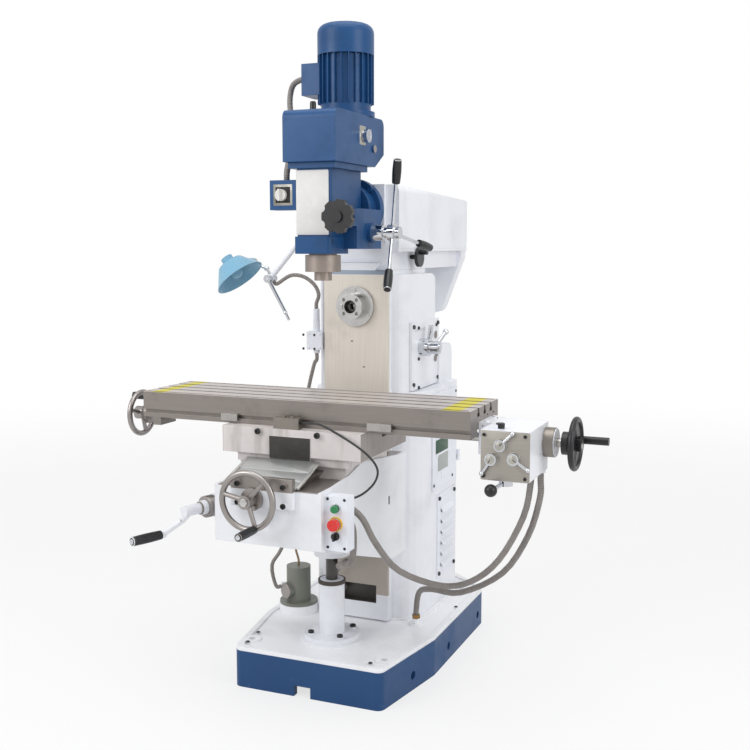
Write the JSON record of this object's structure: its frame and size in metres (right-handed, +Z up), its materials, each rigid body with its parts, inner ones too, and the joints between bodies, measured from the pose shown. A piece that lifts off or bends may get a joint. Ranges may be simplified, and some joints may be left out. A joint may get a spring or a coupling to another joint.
{
  "type": "universal knee-type drilling and milling machine",
  "caption": "Knee-type milling machine with a horizontal spindle in the column and a vertical quill head that tilts on a sliding ram above a T-slotted table.",
  "frame": {"origin": "on the floor, at the centre of the four foundation bolt holes", "axes": "+X along the table to the operator's right, +Y from the operator to the back, +Z up"},
  "size_m": [1.6526, 1.5743, 2.165],
  "materials": {
    "blue_casting": "semi-gloss hammered enamel",
    "skirt": "semi-gloss enamel",
    "blue_sheet": "semi-gloss enamel",
    "bright_iron": "ground, oiled",
    "bright_steel": "turned",
    "chromed": "polished",
    "black_plastic": "moulded",
    "black_rubber": "matt",
    "grey_paint": "matt",
    "white_casting": "gloss enamel",
    "white_sheet": "gloss enamel",
    "white_plastic": "moulded",
    "pump_green": "semi-gloss enamel",
    "red_plastic": "moulded",
    "green_plastic": "moulded",
    "lamp_enamel": "gloss enamel",
    "hose_grey": "ribbed"
  },
  "bodies": {
    "stand": {"base": "skirt", "column": "white_casting", "louvre_panel": "white_sheet", "spindle_flange": "bright_steel", "horizontal_motor": "grey_paint", "drive_belt": "black_rubber", "elevating_tube": "white_casting", "coolant_pump": "pump_green", "valve_block": "white_sheet", "coolant_lines": "hose_grey"},
    "door": {"cabinet_door": "white_sheet"},
    "low_pulley": {"motor_pulley": "bright_steel"},
    "horizontal_spindle": {"horizontal_spindle": "bright_steel"},
    "inner_lever": {"gear_lever_inner": "bright_steel"},
    "outer_lever": {"gear_lever_outer": "bright_steel"},
    "knee": {"knee": "white_casting", "pushbutton_box": "white_sheet", "way_cover": "grey_paint", "knee_cables": "hose_grey"},
    "lift_screw": {"elevating_screw": "bright_steel"},
    "crank": {"elevating_crank": "bright_steel"},
    "start": {"start_button": "green_plastic"},
    "stop": {"stop_button": "red_plastic"},
    "selector": {"selector_knob": "black_plastic"},
    "cross_feed": {"cross_screw": "bright_steel", "cross_handwheel": "bright_steel"},
    "saddle": {"saddle": "white_casting", "limit_switch": "bright_steel"},
    "table": {"table": "bright_iron", "trip_dogs": "bright_steel", "feed_gearbox": "white_casting", "feed_conduits": "hose_grey"},
    "long_feed": {"table_screw": "bright_steel", "left_handwheel": "bright_steel", "right_handwheel": "black_plastic"},
    "dial_1": {"feed_dial_1": "black_plastic"},
    "dial_2": {"feed_dial_2": "black_plastic"},
    "dial_3": {"feed_dial_3": "black_plastic"},
    "feed_lever": {"feed_lever": "chromed"},
    "ram": {"ram": "white_casting", "ram_cover": "white_sheet", "arbor_support": "white_casting"},
    "ram_wheel": {"ram_handwheel": "black_plastic"},
    "lamp_arm": {"lamp_arm": "chromed"},
    "lamp_shade": {"lamp_shade": "lamp_enamel"},
    "nozzle": {"coolant_nozzle": "chromed"},
    "head": {"head_body": "blue_casting", "gear_housing": "blue_casting", "head_motor": "blue_casting", "fan_cover": "blue_sheet", "head_belt": "black_rubber", "head_conduit": "hose_grey"},
    "rotor": {"motor_shaft": "bright_steel"},
    "quill_pulley": {"spindle_pulley": "bright_steel"},
    "quill": {"quill": "bright_steel"},
    "spindle": {"spindle": "bright_steel"},
    "quill_lever": {"quill_feed_lever": "bright_steel"},
    "fine_wheel": {"fine_feed_wheel": "black_plastic"},
    "speed_knob": {"speed_knob": "chromed"},
    "switch_knob": {"switch_knob": "white_plastic"}
  },
  "joints": [
    {"name": "door_hinge", "type": "hinge", "parent": "stand", "child": "door", "pos_m": [0.226, 0.392, 0.75], "axis": [0, 0, 1], "range_deg": [0, 110]},
    {"name": "low_pulley_spin", "type": "hinge", "parent": "stand", "child": "low_pulley", "pos_m": [0, 0.245, 0.42], "axis": [0, 1, 0], "continuous": true},
    {"name": "horizontal_spindle_spin", "type": "hinge", "parent": "stand", "child": "horizontal_spindle", "pos_m": [0, 0.1, 1.244], "axis": [0, 1, 0], "continuous": true},
    {"name": "inner_lever_turn", "type": "hinge", "parent": "stand", "child": "inner_lever", "pos_m": [0.195, 0.103, 1.095], "axis": [1, 0, 0], "range_deg": [-30, 30]},
    {"name": "outer_lever_turn", "type": "hinge", "parent": "stand", "child": "outer_lever", "pos_m": [0.23, 0.103, 1.095], "axis": [1, 0, 0], "range_deg": [-30, 30]},
    {"name": "knee_slide", "type": "slide", "parent": "stand", "child": "knee", "axis": [0, 0, 1], "range_m": [-0.07, 0.2], "deforming": ["knee_cables"]},
    {"name": "crank_turn", "type": "hinge", "parent": "knee", "child": "crank", "pos_m": [-0.238, -0.625, 0.652], "axis": [-0.342, -0.9397, 0], "range_deg": [-28800, 10080]},
    {"name": "lift_screw_turn", "type": "hinge", "parent": "knee", "child": "lift_screw", "pos_m": [0, -0.265, 0.6], "axis": [0, 0, 1], "range_deg": [-5040, 14400]},
    {"name": "start_press", "type": "slide", "parent": "knee", "child": "start", "axis": [0, 1, 0], "range_m": [0, 0.004], "stiffness_N_per_m": 500, "springref_m": -0.002},
    {"name": "stop_press", "type": "slide", "parent": "knee", "child": "stop", "axis": [0, 1, 0], "range_m": [0, 0.004], "stiffness_N_per_m": 500, "springref_m": -0.002},
    {"name": "selector_turn", "type": "hinge", "parent": "knee", "child": "selector", "pos_m": [0.213, -0.69, 0.619], "axis": [0, -1, 0], "range_deg": [-45, 45]},
    {"name": "cross_turn", "type": "hinge", "parent": "knee", "child": "cross_feed", "pos_m": [-0.035, -0.765, 0.715], "axis": [0, -1, 0], "range_deg": [-6480, 10080]},
    {"name": "saddle_slide", "type": "slide", "parent": "knee", "child": "saddle", "axis": [0, 1, 0], "range_m": [-0.14, 0.09], "deforming": ["way_cover"]},
    {"name": "table_slide", "type": "slide", "parent": "saddle", "child": "table", "axis": [1, 0, 0], "range_m": [-0.28, 0.28], "deforming": ["feed_conduits"]},
    {"name": "long_feed_turn", "type": "hinge", "parent": "table", "child": "long_feed", "pos_m": [0, -0.3765, 0.88], "axis": [1, 0, 0], "range_deg": [-20160, 20160]},
    {"name": "dial_1_turn", "type": "hinge", "parent": "table", "child": "dial_1", "pos_m": [0.663, -0.57, 0.896], "axis": [0, -1, 0], "range_deg": [-30, 30]},
    {"name": "dial_2_turn", "type": "hinge", "parent": "table", "child": "dial_2", "pos_m": [0.637, -0.57, 0.855], "axis": [0, -1, 0], "range_deg": [-30, 30]},
    {"name": "dial_3_turn", "type": "hinge", "parent": "table", "child": "dial_3", "pos_m": [0.702, -0.57, 0.86], "axis": [0, -1, 0], "range_deg": [-30, 30]},
    {"name": "feed_lever_turn", "type": "hinge", "parent": "table", "child": "feed_lever", "pos_m": [0.668, -0.52, 0.78], "axis": [0, 0, 1], "range_deg": [-30, 30]},
    {"name": "ram_slide", "type": "slide", "parent": "stand", "child": "ram", "axis": [0, 1, 0], "range_m": [-0.15, 0.1], "deforming": ["coolant_lines"]},
    {"name": "ram_wheel_turn", "type": "hinge", "parent": "ram", "child": "ram_wheel", "pos_m": [0.15, 0.143, 1.4103], "axis": [1, 0, 0], "range_deg": [-337, 506]},
    {"name": "lamp_arm_turn", "type": "hinge", "parent": "ram", "child": "lamp_arm", "pos_m": [-0.33, -0.04, 1.3343], "axis": [0, 1, 0], "range_deg": [-25, 25]},
    {"name": "shade_turn", "type": "hinge", "parent": "lamp_arm", "child": "lamp_shade", "pos_m": [-0.455, 0.02, 1.3913], "axis": [0, 1, 0], "range_deg": [-30, 30]},
    {"name": "nozzle_turn", "type": "hinge", "parent": "ram", "child": "nozzle", "pos_m": [-0.33, -0.08, 1.3343], "axis": [0, 1, 0], "range_deg": [-30, 30]},
    {"name": "head_tilt", "type": "hinge", "parent": "ram", "child": "head", "pos_m": [0, -0.07, 1.57], "axis": [0, -1, 0], "range_deg": [-15, 45]},
    {"name": "rotor_spin", "type": "hinge", "parent": "head", "child": "rotor", "pos_m": [0, -0.137, 1.95], "axis": [0, 0, 1], "continuous": true},
    {"name": "quill_pulley_spin", "type": "hinge", "parent": "head", "child": "quill_pulley", "pos_m": [0, -0.319, 1.8], "axis": [0, 0, 1], "continuous": true},
    {"name": "quill_slide", "type": "slide", "parent": "head", "child": "quill", "axis": [0, 0, -1], "range_m": [0, 0.12]},
    {"name": "spindle_spin", "type": "hinge", "parent": "quill", "child": "spindle", "pos_m": [0, -0.319, 1.5], "axis": [0, 0, 1], "continuous": true},
    {"name": "quill_lever_turn", "type": "hinge", "parent": "head", "child": "quill_lever", "pos_m": [0.2, -0.193, 1.492], "axis": [1, 0, 0], "range_deg": [0, 365]},
    {"name": "fine_wheel_turn", "type": "hinge", "parent": "head", "child": "fine_wheel", "pos_m": [0.105, -0.43, 1.539], "axis": [0, -1, 0], "range_deg": [0, 7320]},
    {"name": "speed_turn", "type": "hinge", "parent": "head", "child": "speed_knob", "pos_m": [0.1, -0.2, 1.8], "axis": [1, 0, 0], "range_deg": [-60, 60]},
    {"name": "switch_turn", "type": "hinge", "parent": "head", "child": "switch_knob", "pos_m": [-0.11, -0.39, 1.6085], "axis": [0, -1, 0], "range_deg": [-60, 60]}
  ],
  "couplings": [
    {"joint": "horizontal_spindle_spin", "follows": "low_pulley_spin", "ratio": 0.66667},
    {"joint": "crank_turn", "follows": "knee_slide", "rad_per_m": -2513.2},
    {"joint": "lift_screw_turn", "follows": "knee_slide", "rad_per_m": 1256.6},
    {"joint": "cross_turn", "follows": "saddle_slide", "rad_per_m": -1256.6},
    {"joint": "long_feed_turn", "follows": "table_slide", "rad_per_m": 1256.6},
    {"joint": "ram_wheel_turn", "follows": "ram_slide", "rad_per_m": -58.8},
    {"joint": "quill_pulley_spin", "follows": "rotor_spin", "ratio": 0.66667},
    {"joint": "spindle_spin", "follows": "rotor_spin", "ratio": 0.66667},
    {"joint": "quill_slide", "follows": "quill_lever_turn", "m_per_rad": 0.0188},
    {"joint": "fine_wheel_turn", "follows": "quill_lever_turn", "ratio": 20}
  ]
}
